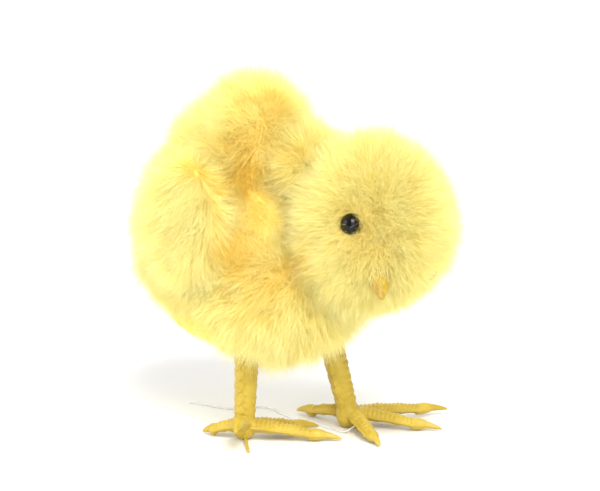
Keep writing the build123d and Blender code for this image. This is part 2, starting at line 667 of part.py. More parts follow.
with BuildPart() as neck_screw:
    screw_seat = NECK_START + NECK_AXIS * (NECK_END + CORE_WALL + 0.7)
    with BuildSketch(along(screw_seat, NECK_AXIS)):
        Circle(NECK_SPIGOT_RADIUS + WASHER_RIM)
    extrude(amount=NECK_SCREW_HEAD)
    with BuildSketch(along(screw_seat, -NECK_AXIS)):
        Circle(NECK_SCREW_RADIUS)
    extrude(amount=NECK_SCREW_LENGTH)
keep("neck_screw", neck_screw)


# ---------------------------------------------------------------- legs
def leg_axis(foot, top):
    return (Vector(*top) - Vector(*foot)).normalized()


def toe(foot, heading, length, tip_height):
    """A tapered toe, cut flat where it meets the floor, that ends in a pointed claw."""
    flat = Vector(cos(radians(heading)), sin(radians(heading)), 0)
    start = Vector(*foot) + Vector(0, 0, PALM_HEIGHT - 0.6)
    knuckle = Vector(*foot) + flat * (length * (1 - CLAW_SHARE)) + Vector(0, 0, tip_height + 0.3)
    claw_tip = Vector(*foot) + flat * length + Vector(0, 0, tip_height - 0.2)
    digit = knuckle - start
    claw = claw_tip - knuckle
    with BuildPart() as solid:
        with BuildSketch(along(start, digit)):
            Circle(TOE_BASE_RADIUS)
        with BuildSketch(along(knuckle, digit)):
            Circle(TOE_TIP_RADIUS)
        loft()
        with Locations(Location(knuckle)):
            Sphere(TOE_TIP_RADIUS * 1.02)
        with BuildSketch(along(knuckle, claw)):
            Circle(TOE_TIP_RADIUS * 0.96)
        with BuildSketch(along(claw_tip, claw)):
            Circle(CLAW_TIP_RADIUS)
        loft()
    return solid.part


def leg(name, foot, top, toes, tab):
    axis = leg_axis(foot, top)
    ankle = Vector(*foot) + axis * (PALM_HEIGHT / axis.Z)
    leg_end = Vector(*top)
    digits = [toe(foot, *each) for each in toes]
    with BuildPart() as limb:
        with BuildSketch(along(ankle, axis)):
            Circle(LEG_FOOT_RADIUS)
        with BuildSketch(along(leg_end, axis)):
            Circle(LEG_TOP_RADIUS)
        loft()
        with Locations(Location(ankle)):
            Sphere(PALM_RADIUS)
        for digit in digits:
            add(digit)
        if tab:
            tab_direction = Vector(cos(radians(TAB_HEADING)), sin(radians(TAB_HEADING)), 0)
            tab_start = ankle + Vector(0, 0, -PALM_RADIUS * 0.9)
            tab_end = Vector(*foot) + tab_direction * TAB_LENGTH + Vector(0, 0, TAB_THICKNESS / 2)
            tab_across = tab_direction.cross(Vector(0, 0, 1))
            with BuildSketch(Plane(origin=tab_start, x_dir=tab_across, z_dir=tab_end - tab_start)):
                Rectangle(TAB_WIDTH, TAB_THICKNESS)
            extrude(amount=(tab_end - tab_start).length)
        else:
            with BuildSketch(Plane.XY):
                with Locations((foot[0] - SOLE_BACK, foot[1])):
                    Ellipse(*SOLE_RADII)
            extrude(amount=PALM_HEIGHT)
        with BuildSketch(Plane.XY):
            with Locations(foot[:2]):
                Rectangle(100, 100)
        extrude(amount=-20, mode=Mode.SUBTRACT)
        with BuildSketch(along(Vector(*foot) - axis * 3, axis)):
            Circle(WIRE_RADIUS + PRESS)
        extrude(amount=LEG_TOP + 10, mode=Mode.SUBTRACT)
    keep(name, limb)


def leg_wire(name, foot, top, low):
    """The straight steel core, from just above the floor to the top of its socket in the yoke."""
    axis = leg_axis(foot, top)
    start = Vector(*foot) + axis * (low / axis.Z)
    with BuildPart() as core:
        with BuildSketch(along(start, axis)):
            Circle(WIRE_RADIUS)
        extrude(amount=(YOKE_TOP - low) / axis.Z)
    keep(name, core)


leg("leg_right", FOOT_RIGHT, TOP_RIGHT, TOES_RIGHT, tab=True)
leg("leg_left", FOOT_LEFT, TOP_LEFT, TOES_LEFT, tab=False)
leg_wire("leg_wire_right", FOOT_RIGHT, TOP_RIGHT, WIRE_LOW)
leg_wire("leg_wire_left", FOOT_LEFT, TOP_LEFT, WIRE_LOW)

WINDOW_RADIUS = 2 * CRANK_THROW + CRANK_PIN_RADIUS + 0.2
WINDOW_RIM = 1.1
SOCKET_LOW = LEG_TOP + 0.4


def axis_at(foot, top, height):
    """The point of a leg's axis at a height."""
    axis = leg_axis(foot, top)
    return Vector(*foot) + axis * (height / axis.Z)


with BuildPart() as leg_yoke:
    for side in (1, -1):
        high = max(side * EAR_INNER, side * EAR_OUTER)
        with BuildSketch(across(high)):
            with Locations(HIP):
                Circle(HIP_EYE_RADIUS)
            if side > 0:
                with Locations(CRANK):
                    Circle(WINDOW_RADIUS + WINDOW_RIM)
                make_hull()
            with Locations((HIP[0], (HIP[1] + YOKE_BOTTOM) / 2)):
                Rectangle(2 * YOKE_HALF_WIDTH, HIP[1] - YOKE_BOTTOM)
        extrude(amount=EAR)
    with BuildSketch(Plane.XY.offset(YOKE_BOTTOM)):
        with Locations((HIP[0], 0)):
            Rectangle(2 * YOKE_HALF_WIDTH, 2 * EAR_OUTER)
        for foot, top in ((FOOT_RIGHT, TOP_RIGHT), (FOOT_LEFT, TOP_LEFT)):
            socket = axis_at(foot, top, (YOKE_BOTTOM + YOKE_TOP) / 2)
            with Locations(((HIP[0] + socket.X) / 2, socket.Y)):
                Rectangle(abs(socket.X - HIP[0]), SOCKET_ARM)
    extrude(amount=YOKE_TOP - YOKE_BOTTOM)
    for foot, top in ((FOOT_RIGHT, TOP_RIGHT), (FOOT_LEFT, TOP_LEFT)):
        with BuildSketch(along(axis_at(foot, top, SOCKET_LOW), leg_axis(foot, top))):
            Circle(SOCKET_RADIUS)
        extrude(amount=YOKE_TOP - SOCKET_LOW)
    for foot, top in ((FOOT_RIGHT, TOP_RIGHT), (FOOT_LEFT, TOP_LEFT)):
        with BuildSketch(along(axis_at(foot, top, LEG_TOP - 3), leg_axis(foot, top))):
            Circle(WIRE_RADIUS + PRESS)
        extrude(amount=12, mode=Mode.SUBTRACT)
    with BuildSketch(across(EAR_OUTER + 1)):
        with Locations(HIP):
            Circle(HIP_AXLE_RADIUS + RUNNING)
    extrude(amount=2 * EAR_OUTER + 2, mode=Mode.SUBTRACT)
    with BuildSketch(across(EAR_OUTER + 1)):
        with Locations(CRANK):
            Circle(WINDOW_RADIUS)
    extrude(amount=EAR + 2, mode=Mode.SUBTRACT)
keep("leg_yoke", leg_yoke)

AXLE_END = EAR_OUTER + 0.8
keep("hip_axle", pin_between(-AXLE_END, AXLE_END, HIP, HIP_AXLE_RADIUS))

with BuildPart() as axle_clips:
    for side in (1, -1):
        clip_high = max(side * (EAR_OUTER + 0.1), side * (EAR_OUTER + 0.1 + CLIP))
        with BuildSketch(across(clip_high)):
            with Locations(HIP):
                Circle(CLIP_RADIUS)
                Circle(HIP_AXLE_RADIUS + PRESS, mode=Mode.SUBTRACT)
        extrude(amount=CLIP)
keep("axle_clips", axle_clips)

# ---------------------------------------------------------------- pelts
TUNNEL_RADIUS = LEG_TOP_RADIUS + 0.6


def rocked(point, angle):
    """A point turned about the hip axle."""
    turned = Vector(point.X - HIP[0], point.Y, point.Z - HIP[1]).rotate(Axis.Y, angle)
    return turned + Vector(HIP[0], 0, HIP[1])


with BuildPart() as leg_space:
    with BuildSketch(across(EAR_OUTER + 0.9)):
        with Locations(HIP):
            Circle(SWING_RADIUS)
    extrude(amount=2 * EAR_OUTER + 1.8)
    for foot, top in ((FOOT_RIGHT, TOP_RIGHT), (FOOT_LEFT, TOP_LEFT)):
        for share in SWING_STEPS:
            low = rocked(axis_at(foot, top, 4.0), share * ROCK)
            high = rocked(axis_at(foot, top, YOKE_TOP + 1.5), share * ROCK)
            with BuildSketch(along(low, high - low)):
                Circle(TUNNEL_RADIUS)
            extrude(amount=(high - low).length)
    for share in SWING_STEPS:
        window = rocked(Vector(CRANK[0], 0, CRANK[1]), share * ROCK)
        with BuildSketch(across(EAR_OUTER + 0.6)):
            with Locations((window.X, window.Z)):
                Circle(WINDOW_RADIUS + WINDOW_RIM + 0.6)
        extrude(amount=EAR + 1.2)

KEY_TUNNEL = Pos(ARBOR[0], 30, ARBOR[1]) * Rot(90, 0, 0) * Cylinder(KEY_TUNNEL_RADIUS, 40)
BUSH_SPACE = Pos(ARBOR[0], WALL_AT_KEY, ARBOR[1]) * Rot(90, 0, 0) * Cylinder(BUSH_RADIUS + 1.1, 3.2)
NECK_SPACE = Plane(origin=NECK_START, z_dir=NECK_AXIS) * Cylinder(NECK_RADIUS + SKIN_GAP, 60)

with BuildPart() as body_fur:
    add(body_volume)
    add(breast_volume)
    add(SHELL_SPACE, mode=Mode.SUBTRACT)
    add(leg_space.part, mode=Mode.SUBTRACT)
    add(core_envelope, mode=Mode.SUBTRACT)
    add(KEY_TUNNEL, mode=Mode.SUBTRACT)
    add(BUSH_SPACE, mode=Mode.SUBTRACT)
    add(NECK_SPACE, mode=Mode.SUBTRACT)
keep("body_fur", body_fur)

with BuildPart() as head_fur:
    add(head_volume)
    add(core_envelope, mode=Mode.SUBTRACT)
    for envelope in torso_envelope:
        add(envelope, mode=Mode.SUBTRACT)
    for direction in EYES.values():
        with BuildSketch(along(HEAD, direction)):
            Circle(EYE_RADIUS + SKIN_GAP)
        extrude(amount=2 * CORE_RADIUS, mode=Mode.SUBTRACT)
    with BuildSketch(along(HEAD, FACE)):
        Circle(BEAK_WIDTH / 2 + 2 * SKIN_GAP)
    extrude(amount=3 * CORE_RADIUS, mode=Mode.SUBTRACT)
    add(NECK_SPACE, mode=Mode.SUBTRACT)
keep("head_fur", head_fur)

back_volume = ellipsoid(BACK_CENTRE, BACK_RADII)
with BuildPart() as back_fur:
    add(back_volume)
    for envelope in torso_envelope:
        add(envelope, mode=Mode.SUBTRACT)
    add(head_envelope, mode=Mode.SUBTRACT)
keep("back_fur", back_fur)


def wing(name, centre, tunnel):
    lobe = ellipsoid(centre, WING_RADII)
    with BuildPart() as pelt:
        add(lobe)
        for envelope in torso_envelope:
            add(envelope, mode=Mode.SUBTRACT)
        if tunnel:
            add(KEY_TUNNEL, mode=Mode.SUBTRACT)
            add(BUSH_SPACE, mode=Mode.SUBTRACT)
    keep(name, pelt)


wing("wing_left", WING_CENTRE, tunnel=True)
wing("wing_right", mirrored(WING_CENTRE), tunnel=False)

# ---------------------------------------------------------------- thread
thread_points = [Vector(*point) for point in THREAD_ROUTE]
thread_radii = []
for before, corner, after in zip(thread_points, thread_points[1:], thread_points[2:]):
    turn = radians((corner - before).get_angle(after - corner))
    shorter = min((corner - before).length, (after - corner).length)
    thread_radii.append(THREAD_BEND_SHARE * shorter / tan(turn / 2))
print("thread bend radii, mm:", [round(radius, 2) for radius in thread_radii])

with BuildPart() as nylon_thread:
    with BuildLine() as thread_line:
        FilletPolyline(*thread_points, radius=thread_radii)
    thread_path = thread_line.wires()[0]
    with BuildSketch(along(thread_path @ 0, thread_path % 0)):
        Circle(THREAD_DIAMETER / 2)
    sweep(path=thread_path)
print("thread length, mm:", round(thread_path.length, 2))
thread_section = pi * THREAD_DIAMETER**2 / 4
print("thread volume over its section, mm:", round(nylon_thread.part.volume / thread_section, 2))
keep("nylon_thread", nylon_thread)

# ---------------------------------------------------------------- origin, joints and files
boxes = [part.bounding_box() for name, part in pieces.items() if name != "nylon_thread"]
low = Vector(min(b.min.X for b in boxes), min(b.min.Y for b in boxes), min(b.min.Z for b in boxes))
high = Vector(max(b.max.X for b in boxes), max(b.max.Y for b in boxes), max(b.max.Z for b in boxes))
shift = Vector(-(low.X + high.X) / 2, -(low.Y + high.Y) / 2, -low.Z)
print("size, mm:", high - low, "moved by:", shift)
centres = {"hip": HIP, "arbor": ARBOR, "second": SECOND, "crank": CRANK, "click": CLICK_PIVOT}
for name, (x, z) in centres.items():
    print("axis", name, "at", round(x + shift.X, 4), round(shift.Y, 4), round(z + shift.Z, 4))
sole = Vector(*FOOT_LEFT) - Vector(PALM_RADIUS, 0, 0) + shift
print("axis sole at", round(sole.X, 4), round(sole.Y, 4), round(sole.Z, 4))
for name, part in pieces.items():
    placed = Pos(shift) * part
    placed.label = name
    export_step(placed, f"parts/{name}.step")
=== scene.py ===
import bmesh
import bpy
import json
import numpy as np
from math import pi
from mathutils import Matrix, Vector, kdtree


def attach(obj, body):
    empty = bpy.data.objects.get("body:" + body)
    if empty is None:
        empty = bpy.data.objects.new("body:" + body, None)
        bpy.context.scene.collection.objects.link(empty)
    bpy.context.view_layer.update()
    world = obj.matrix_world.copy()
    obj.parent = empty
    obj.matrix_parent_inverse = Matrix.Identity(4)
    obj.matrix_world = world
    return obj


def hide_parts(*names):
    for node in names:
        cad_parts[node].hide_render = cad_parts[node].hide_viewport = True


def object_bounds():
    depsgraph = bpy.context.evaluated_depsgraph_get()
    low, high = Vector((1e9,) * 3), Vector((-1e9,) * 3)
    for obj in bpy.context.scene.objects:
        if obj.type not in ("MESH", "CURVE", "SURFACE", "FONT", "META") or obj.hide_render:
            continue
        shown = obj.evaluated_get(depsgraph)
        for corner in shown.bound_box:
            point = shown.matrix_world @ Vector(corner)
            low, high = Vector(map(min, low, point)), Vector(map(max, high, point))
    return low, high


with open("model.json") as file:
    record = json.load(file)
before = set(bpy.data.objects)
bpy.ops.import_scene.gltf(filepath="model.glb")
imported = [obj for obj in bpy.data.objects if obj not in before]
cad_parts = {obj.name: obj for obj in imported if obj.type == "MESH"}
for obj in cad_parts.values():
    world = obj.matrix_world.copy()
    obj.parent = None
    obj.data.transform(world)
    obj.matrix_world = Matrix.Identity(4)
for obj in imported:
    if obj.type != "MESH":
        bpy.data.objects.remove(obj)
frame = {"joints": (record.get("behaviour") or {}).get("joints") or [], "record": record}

# The wind-up hopping chicken: a coat of fur over the pelts, and moulded feet over the plain legs. Places and
# sizes are in millimetres from the floor below the middle of the body; +X is ahead and +Y is its left.
CAD_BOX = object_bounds()
MM = 0.001

# ------------------------------------------------------------------ places, from the record
JOINTS = {joint["name"]: joint for joint in frame["joints"]}
HIP = np.array(JOINTS["hip_rock"]["pos_m"]) / MM
SHIFT = HIP - np.array((12.3, 0.0, 31.0))  # the hip axle in the frame, less its place in this script


def unit(v):
    v = np.asarray(v, float)
    return v / np.linalg.norm(v, axis=-1, keepdims=True)


BODY = ((-1.0, 0.0, 45.0), (22.0, 20.0, 28.0))
BREAST = ((11.0, 0.0, 34.5), (24.0, 20.0, 20.5))
BACK = ((6.5, 0.0, 69.0), (14.5, 14.0, 15.5))
WING_RIGHT = ((-1.5, -18.0, 53.0), (11.0, 6.3, 16.0))
WING_LEFT = ((-2.0, 18.0, 53.0), (10.0, 5.5, 16.0))
HEAD = ((36.0, 0.0, 50.5), (20.0, 19.0, 23.0))
CASING = ((5.0, 0.0, 40.0), (17.0, 15.5, 25.0))
CASING_LOW = 26.0
FACE = unit((0.424, -0.757, -0.496))
EYES = np.array(((37.4, -14.8, 54.7), (49.0, -0.1, 42.1)))
EYE_CLEAR, EYE_CROSSED = 2.25, 0.012  # bare disc round an eye, and the share of hairs that cross it
BEAK_ROOT = np.array((42.6, -11.8, 42.7))
BEAK_LENGTH, BEAK_CLEAR, BEAK_CROSSED = 9.0, 1.35, 0.15
FOOT_RIGHT, LEG_TOP_RIGHT = (8.2, -9.5, 0.0), (7.9, -7.0, 21.0)
FOOT_LEFT, LEG_TOP_LEFT = (26.8, 9.5, 0.0), (22.5, 7.0, 21.0)
SHANK_CLEAR, SHANK_COVERED = 3.3, 22.0  # hairs keep this far from a shank's axis, below this height

# ------------------------------------------------------------------ camera
TOWARD = np.array((0.410, -0.879, 0.242))
TARGET = (np.array((18.0, 0.0, 44.6)) + SHIFT) * MM
CAMERA_DISTANCE, LAMP_DISTANCE = 0.6, 0.7
camera = bpy.data.objects.new("camera", bpy.data.cameras.new("camera"))
bpy.context.scene.collection.objects.link(camera)
camera.location = Vector(TARGET + unit(TOWARD) * CAMERA_DISTANCE)
camera.rotation_euler = Vector(-TOWARD).to_track_quat("-Z", "Y").to_euler()
camera.data.lens = 158.6
camera.data.sensor_width = 36
camera.data.clip_start, camera.data.clip_end = 0.01, 20
bpy.context.scene.camera = camera
bpy.context.scene.view_settings.view_transform = "Standard"


# ------------------------------------------------------------------ materials
def material(name, base, rough=0.5, metallic=0.0, **more):
    m = bpy.data.materials.new(name)
    m.use_nodes = True
    shader = m.node_tree.nodes["Principled BSDF"]
    shader.inputs["Base Color"].default_value = (*base, 1)
    shader.inputs["Roughness"].default_value = rough
    shader.inputs["Metallic"].default_value = metallic
    for key, value in more.items():
        shader.inputs[key.replace("_", " ")].default_value = value
    return m


def mottled(name, low, high, rough, size, bump, **more):
    """A moulded surface: two tones in soft patches and a fine grain."""
    m = material(name, high, rough, **more)
    nodes, links = m.node_tree.nodes, m.node_tree.links
    shader = nodes["Principled BSDF"]
    place = nodes.new("ShaderNodeTexCoord")
    patches = nodes.new("ShaderNodeTexNoise")
    patches.inputs["Scale"].default_value = size
    patches.inputs["Detail"].default_value = 4
    ramp = nodes.new("ShaderNodeValToRGB")
    ramp.color_ramp.elements[0].position, ramp.color_ramp.elements[1].position = 0.35, 0.68
    ramp.color_ramp.elements[0].color, ramp.color_ramp.elements[1].color = (*low, 1), (*high, 1)
    grain = nodes.new("ShaderNodeTexNoise")
    grain.inputs["Scale"].default_value = size * 12
    raised = nodes.new("ShaderNodeBump")
    raised.inputs["Strength"].default_value = bump
    raised.inputs["Distance"].default_value = 0.0002
    links.new(place.outputs["Object"], patches.inputs["Vector"])
    links.new(place.outputs["Object"], grain.inputs["Vector"])
    links.new(patches.outputs["Fac"], ramp.inputs["Fac"])
    links.new(ramp.outputs["Color"], shader.inputs["Base Color"])
    links.new(grain.outputs["Fac"], raised.inputs["Height"])
    links.new(raised.outputs["Normal"], shader.inputs["Normal"])
    return m


def fur_material():
    """Across the map: from pale to orange fur, the orange partly painted shade in the coat's hollows. Up the
    map: from root to tip.
    """
    m = material("fur", (1, 0.9, 0.4), 0.7, Specular_IOR_Level=0.12)
    nodes, links = m.node_tree.nodes, m.node_tree.links
    place = nodes.new("ShaderNodeUVMap")
    place.uv_map = "OFBake"
    split = nodes.new("ShaderNodeSeparateXYZ")
    links.new(place.outputs["UV"], split.inputs["Vector"])
    ends = []
    for colours in (
        ((0.0, (1.0, 0.80, 0.15)), (0.45, (1.0, 0.93, 0.36)), (1.0, (1.0, 0.97, 0.56))),
        ((0.0, (1.0, 0.56, 0.03)), (0.5, (1.0, 0.68, 0.07)), (1.0, (1.0, 0.81, 0.20))),
    ):
        ramp = nodes.new("ShaderNodeValToRGB")
        stops = ramp.color_ramp.elements
        while len(stops) < len(colours):
            stops.new(0.5)
        for stop, (at, colour) in zip(stops, colours):
            stop.position = at
            stop.color = (*colour, 1)
        links.new(split.outputs["Y"], ramp.inputs["Fac"])
        ends.append(ramp)
    mix = nodes.new("ShaderNodeMix")
    mix.data_type = "RGBA"
    links.new(split.outputs["X"], mix.inputs["Factor"])
    colour_in = [s for s in mix.inputs if s.type == "RGBA"]
    links.new(ends[0].outputs["Color"], colour_in[0])
    links.new(ends[1].outputs["Color"], colour_in[1])
    out = [s for s in mix.outputs if s.type == "RGBA"][0]
    links.new(out, nodes["Principled BSDF"].inputs["Base Color"])
    return m


FUR = fur_material()
SKIN = material("fur_base", (1.0, 0.85, 0.25), 0.9, Specular_IOR_Level=0.05)
VINYL = mottled(
    "vinyl", (0.48, 0.335, 0.034), (0.57, 0.415, 0.053),
    rough=0.36, size=260, bump=0.12, Specular_IOR_Level=0.3,
)
BEAK = mottled("beak", (0.32, 0.19, 0.02), (0.56, 0.40, 0.04), rough=0.4, size=400, bump=0.2)
FINISH = {
    "bright_steel": material("bright_steel", (0.62, 0.61, 0.58), 0.25, 1.0),
    "plated_steel": material("plated_steel", (0.70, 0.70, 0.68), 0.18, 1.0),
    "blued_spring_steel": material("blued_spring_steel", (0.16, 0.18, 0.26), 0.3, 1.0),
    "brass": material("brass", (0.75, 0.55, 0.22), 0.28, 1.0),
    "white_nylon": material("white_nylon", (0.82, 0.80, 0.72), 0.45),
    "yellow_casing": material("yellow_casing", (0.85, 0.62, 0.12), 0.35),
    "black_bead": material("black_bead", (0.002, 0.002, 0.002), 0.06, Specular_IOR_Level=0.3),
    "yellow_vinyl": VINYL,
    "ochre_beak": BEAK,
    "yellow_fur": SKIN,
    "clear_thread": material("clear_thread", (0.97, 0.97, 0.96), 0.08, Transmission_Weight=0.55, IOR=1.4),
}
for part in frame["record"]["subparts"]:
    node = bpy.data.objects.get(part["node"])
    if node is not None and node.type == "MESH":
        node.data.materials.clear()
        node.data.materials.append(FINISH[part["material_slot"]])


def make(name, verts, faces, mat, body="chick", smooth=True, uv=None):
    """A mesh piece in the row frame from points in millimetres; uv holds one pair for each point."""
    mesh = bpy.data.meshes.new(name)
    verts = ((np.asarray(verts, float) + SHIFT) * MM).astype(np.float32)
    mesh.vertices.add(len(verts))
    mesh.vertices.foreach_set("co", verts.ravel())
    sizes = np.array([len(face) for face in faces], np.int32)
    flat = np.concatenate([np.asarray(f) for f in faces]) if isinstance(faces, list) else faces.ravel()
    mesh.loops.add(len(flat))
    mesh.loops.foreach_set("vertex_index", flat.astype(np.int32))
    mesh.polygons.add(len(sizes))
    mesh.polygons.foreach_set("loop_start", np.concatenate(([0], np.cumsum(sizes)[:-1])).astype(np.int32))
    mesh.update(calc_edges=True)
    mesh.validate()
    if smooth:
        mesh.polygons.foreach_set("use_smooth", np.ones(len(mesh.polygons), bool))
    if uv is not None:
        layer = mesh.uv_layers.new(name="OFBake")
        loops = np.zeros(len(mesh.loops), np.int32)
        mesh.loops.foreach_get("vertex_index", loops)
        layer.data.foreach_set("uv", uv[loops].astype(np.float32).ravel())
    mesh.materials.append(mat)
    piece = bpy.data.objects.new(name, mesh)
    bpy.context.scene.collection.objects.link(piece)
    if body:
        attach(piece, body)
    return piece


# ------------------------------------------------------------------ thread
THREAD_DIAMETER = 0.4
ROUTE = ((29.7, 5.3, 1.87), (27.6, 3.6, 0.21), (19.3, 7.1, 0.21), (9.9, 9.3, 0.21), (2.6, 15.1, 0.21),
         (-4.2, 8.7, 0.21), (-11.0, 9.6, 0.21), (-15.7, 9.8, 0.21))


def smooth_route(route, share=0.45, steps=10):
    """Straight runs and arcs: each corner is rounded as in the CAD thread."""
    pts = [np.array(p, float) for p in route]
    line = [pts[0]]
    for a, b, c in zip(pts, pts[1:], pts[2:]):
        cut = share * min(np.linalg.norm(b - a), np.linalg.norm(c - b))
        start, end = b + unit(a - b) * cut, b + unit(c - b) * cut
        for t in np.linspace(0, 1, steps):
            line.append((1 - t) ** 2 * start + 2 * t * (1 - t) * b + t * t * end)
    return np.array(line + [pts[-1]])


THREAD = smooth_route(ROUTE)
curve = bpy.data.curves.new("nylon_line", "CURVE")
curve.dimensions = "3D"
curve.bevel_depth = THREAD_DIAMETER / 2 * MM
curve.bevel_resolution = 4
curve.use_fill_caps = True
spline = curve.splines.new("NURBS")
spline.points.add(len(THREAD) - 1)
for point, place in zip(spline.points, (THREAD + SHIFT) * MM):
    point.co = (*place, 1)
spline.order_u = 3
spline.use_endpoint_u = True
spline.resolution_u = 6
curve.materials.append(FINISH["clear_thread"])
thread = bpy.data.objects.new("nylon_line", curve)
bpy.context.scene.collection.objects.link(thread)
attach(thread, "legs")
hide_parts("nylon_thread")
length = float(np.linalg.norm(np.diff(THREAD, axis=0), axis=1).sum()) * MM

# ------------------------------------------------------------------ floor and light
floor_mesh = bpy.data.meshes.new("floor")
HALF_FLOOR = 3
floor_corners = [(x * HALF_FLOOR, y * HALF_FLOOR, 0) for x, y in ((-1, -1), (1, -1), (1, 1), (-1, 1))]
floor_mesh.from_pydata(floor_corners, [], [(0, 1, 2, 3)])
floor = bpy.data.objects.new("floor", floor_mesh)
floor.location.z = CAD_BOX[0][2] - 0.00002
floor_mesh.materials.append(material("floor", (0.86, 0.86, 0.86), 0.9, Specular_IOR_Level=0.1))
bpy.context.scene.collection.objects.link(floor)
world = bpy.data.worlds.new("world")
bpy.context.scene.world = world
world.use_nodes = True
world.node_tree.nodes["Background"].inputs["Color"].default_value = (1, 1, 1, 1)
world.node_tree.nodes["Background"].inputs["Strength"].default_value = 0.52


def lamp(name, direction, power, size):
    light = bpy.data.lights.new(name, "AREA")
    light.energy, light.size = power, size
    place = bpy.data.objects.new(name, light)
    place.location = Vector(TARGET + unit(direction) * LAMP_DISTANCE)
    place.rotation_euler = Vector(-np.array(direction)).to_track_quat("-Z", "Y").to_euler()
    bpy.context.scene.collection.objects.link(place)


lamp("key_light", (0.55, -0.6, 1.0), 5.6, 0.4)
lamp("fill_light", (-1.0, -0.7, 0.35), 3.2, 0.6)
lamp("face_light", (0.9, -1.0, 0.15), 1.8, 0.5)
lamp("rim_light", (-0.4, 1.0, 0.9), 2.6, 0.6)


# ------------------------------------------------------------------ fur
def field(p, size, seed):
    """A smooth random field with ups and downs about size apart, mostly within -1 to 1."""
    count = 26
    r = np.random.default_rng(seed)
    waves = unit(r.normal(size=(count, 3))).T * (2 * pi / size) * r.uniform(0.6, 1.4, count)
    return np.cos(p @ waves + r.uniform(0, 2 * pi, count)).sum(1) * (2 / count) ** 0.5 * 0.7


def vectors(p, size, seed):
    return np.stack([field(p, size, seed + k) for k in range(3)], 1)


def level(p, volume, grow=0.0):
    """Below 0 inside a rounded volume, above 0 outside; about a distance in millimetres."""
    centre, radii = np.array(volume[0]), np.array(volume[1]) + grow
    q = (p - centre) / radii
    size = np.linalg.norm(q, axis=1)
    return (size - 1) * size / np.maximum(np.linalg.norm(q / radii, axis=1), 1e-9)


SHOULDER = ((1.5, -4.0, 65.3), (14.5, 12.5, 13.2))
NAPE = ((19.5, 0.0, 64.5), (9.5, 11.0, 9.5))
# each volume of the coat: its shape, how deep the roots lie, the hairs' length and lean, and their number
COAT = {
    "body": (BODY, 5.0, 6.4, 0.7, 130000),
    "breast": (BREAST, 5.0, 6.2, 0.65, 115000),
    "back": (BACK, 4.5, 6.0, 0.35, 50000),
    "shoulder": (SHOULDER, 5.0, 6.4, 0.5, 45000),
    "wing_right": (WING_RIGHT, 4.0, 6.4, 0.6, 46000),
    "wing_left": (WING_LEFT, 4.0, 6.4, 0.6, 36000),
    "head": (HEAD, 5.5, 6.0, 0.1, 190000),
    "nape": (NAPE, 4.0, 6.0, 0.4, 26000),
}
# painted shade: orange painted into the coat's hollows, where shade falls: place, reach, strength
PAINTED_SHADE_HOLLOWS = (
    ((6.0, -13.9, 70.0), 4.0, 0.45),
    ((9.2, -13.9, 62.0), 4.0, 0.95),
    ((11.6, -12.5, 59.8), 3.6, 0.7),
    ((8.8, -17.8, 45.5), 4.5, 0.85),
    ((23.3, -14.4, 44.1), 4.0, 0.75),
    ((15.0, -5.9, 79.7), 4.5, 0.5),
    ((14.4, -12.6, 54.2), 6.0, 0.28),
    ((14.1, -11.9, 69.2), 6.0, 0.35),
    ((15.7, -19.2, 38.3), 7.0, 0.3),
    ((39.1, -18.2, 55.8), 4.5, 0.4),
    ((41.5, -16.5, 48.0), 4.5, 0.35),
    ((12.2, -19.6, 31.0), 6.0, 0.2),
)


def outside_casing(p, out, gap):
    """Moves the points that lie within the hard casing out to its surface."""
    for _ in range(6):
        q = (p - np.array(CASING[0])) / np.array(CASING[1])
        q[:, 2] = np.maximum(q[:, 2], 0)
        size = np.linalg.norm(q, axis=1)
        inside = np.clip((1 - size) * CASING[1][1] + gap, 0, None) * (p[:, 2] > CASING_LOW)
        p = p + out * inside[:, None] * 0.8
    return p


def slimmed(p, out, volume):
    """Draws the head's surface in, low at its front, where its coat is thinnest."""
    if volume is not HEAD:
        return p
    low = np.clip((50 - p[:, 2]) / 14, 0, 1) * np.clip((p[:, 0] - 36) / 10, 0, 1)
    near_eye = np.exp(-((np.linalg.norm(p - EYES[1], axis=1) / 7.5) ** 2))
    return p - out * (2.6 * low * (1 - near_eye))[:, None]


def on_ellipsoid(volume, count, depth, rng):
    centre, radii = np.array(volume[0]), np.array(volume[1]) - depth
    n = unit(rng.normal(size=(count * 3, 3)))
    area = np.linalg.norm(n / radii, axis=1)
    n = n[rng.uniform(0, area.max(), len(n)) < area][:count]
    p = n * radii
    out = unit(p / radii**2)
    return slimmed(outside_casing(p + centre, out, 0.3), out, volume), out


def coat(name, share, rng):
    """Roots, outward directions, flow and relative length of the hairs on one volume."""
    volume, depth, _, _, count = COAT[name]
    root, out = on_ellipsoid(volume, int(count * share), depth, rng)
    keep = np.ones(len(root), bool)
    for other, (shape, other_depth, *_) in COAT.items():
        if other != name:
            keep &= level(root, shape) > -other_depth - 0.2
    root, out = root[keep], out[keep]
    if name == "head":
        away = -FACE[None, :] + 0.25 * vectors(root, 9, 40)
        flow = away
    elif name in ("back", "shoulder", "nape"):
        flow = np.array((-0.8, 0.0, 0.25)) + 0.5 * vectors(root, 8, 50)
    elif name.startswith("wing"):
        flow = np.array((-0.35, 0.0, -1.0)) + 0.4 * vectors(root, 7, 60)
    else:
        flow = np.array((-0.55, 0.0, -0.8)) + 0.6 * vectors(root, 10, 70)
    flow = flow - (flow * out).sum(1, keepdims=True) * out
    flow = flow / np.maximum(np.linalg.norm(flow, axis=1, keepdims=True), 0.35)
    room = np.clip(-level(root, volume) / depth, 0.3, 1.0)
    low = 1.7 * np.clip((38 - root[:, 2]) / 14, 0, 1) * np.clip((6 - root[:, 0]) / 12, 0, 1)
    if name == "head":
        low = np.clip((46 - root[:, 2]) / 12, 0, 1) * np.clip((root[:, 0] - 30) / 8, 0.4, 1)
    under = np.clip((31 - root[:, 2]) / 8, 0, 1) if name != "head" else 0.0
    return root, out, flow, room * (1 - 0.45 * low) * (1 - 0.3 * under)


